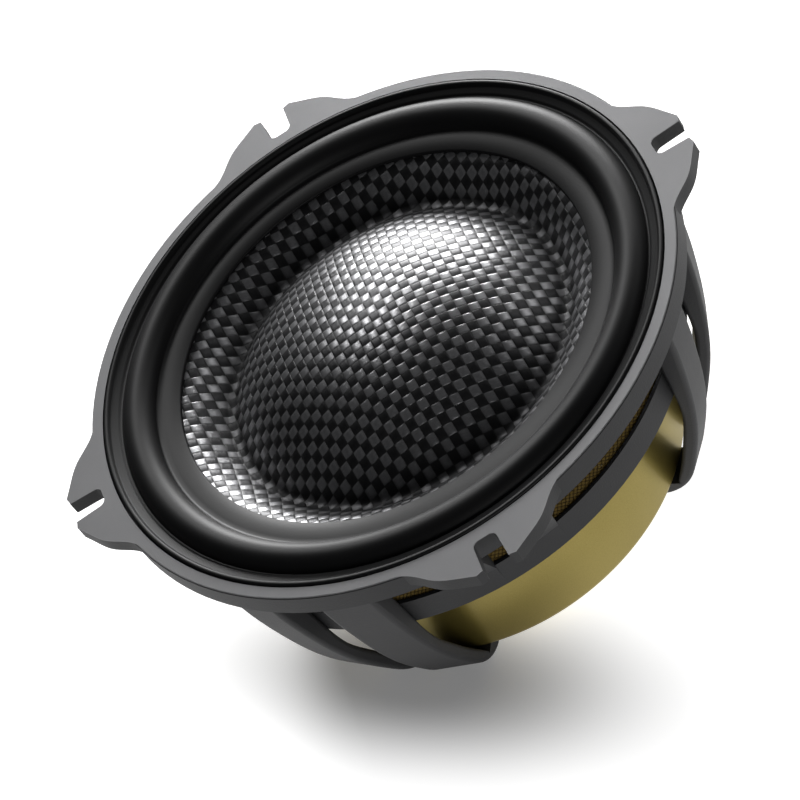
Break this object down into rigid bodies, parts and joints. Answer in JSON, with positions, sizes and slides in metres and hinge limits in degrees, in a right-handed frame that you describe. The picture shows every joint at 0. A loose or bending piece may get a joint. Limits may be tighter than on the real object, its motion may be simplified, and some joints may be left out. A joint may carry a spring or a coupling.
{
  "type": "car loudspeaker",
  "caption": "Round car loudspeaker: cast basket with slotted ears and bowed legs, half-roll rubber edge, woven carbon cone and dome, gold motor cup",
  "frame": {"origin": "centre of the underside of the six motor feet, on the speaker axis", "axes": "+Z along the speaker axis from the motor towards the listener; the four ears lie at 45 degrees to X and Y; the terminals are near +Y"},
  "size_m": [0.13, 0.13, 0.0611],
  "materials": {
    "cast_charcoal": "fine-textured charcoal powder coat with a machined satin silver front face",
    "rubber": "satin black butyl rubber",
    "damper_cloth": "gold-brown open-weave resin-dipped cloth",
    "steel": "zinc-plated soft iron",
    "ferrite": "fired ferrite, matte grey-black",
    "copper": "copper sleeve, satin",
    "aluminium": "turned aluminium",
    "gold_anodised": "satin olive-gold metallic finish",
    "black_steel": "matt black punched steel",
    "black_zinc": "black zinc",
    "phenolic": "brown-black phenolic board",
    "tinned_brass": "tinned brass",
    "tinsel_braid": "woven tinsel braid",
    "carbon_weave": "glossy black plain-weave carbon fibre in resin",
    "former_film": "amber film former",
    "coil_wire": "enamelled copper wire",
    "kraft_collar": "black-brown kraft band"
  },
  "bodies": {
    "frame": {"basket": "cast_charcoal", "surround": "rubber", "damper": "damper_cloth", "top_plate": "steel", "pole_yoke": "steel", "magnet_ring": "ferrite", "pole_cap": "copper", "shorting_ring": "aluminium", "motor_cup": "gold_anodised", "vent_mesh": "black_steel", "foot_screws": "black_zinc", "floor_screws": "black_zinc", "terminal_board": "phenolic", "terminal_rivets": "tinned_brass", "terminal_positive": "tinned_brass", "terminal_negative": "tinned_brass", "lead_positive": "tinsel_braid", "lead_negative": "tinsel_braid"},
    "diaphragm": {"cone": "carbon_weave", "dust_dome": "carbon_weave", "coil_former": "former_film", "voice_coil": "coil_wire", "former_collar": "kraft_collar"}
  },
  "joints": [
    {"name": "cone_stroke", "type": "slide", "parent": "frame", "child": "diaphragm", "axis": [0, 0, 1], "range_m": [-0.004, 0.004], "stiffness_N_per_m": 1800, "deforming": ["surround", "damper", "lead_positive", "lead_negative"]}
  ]
}
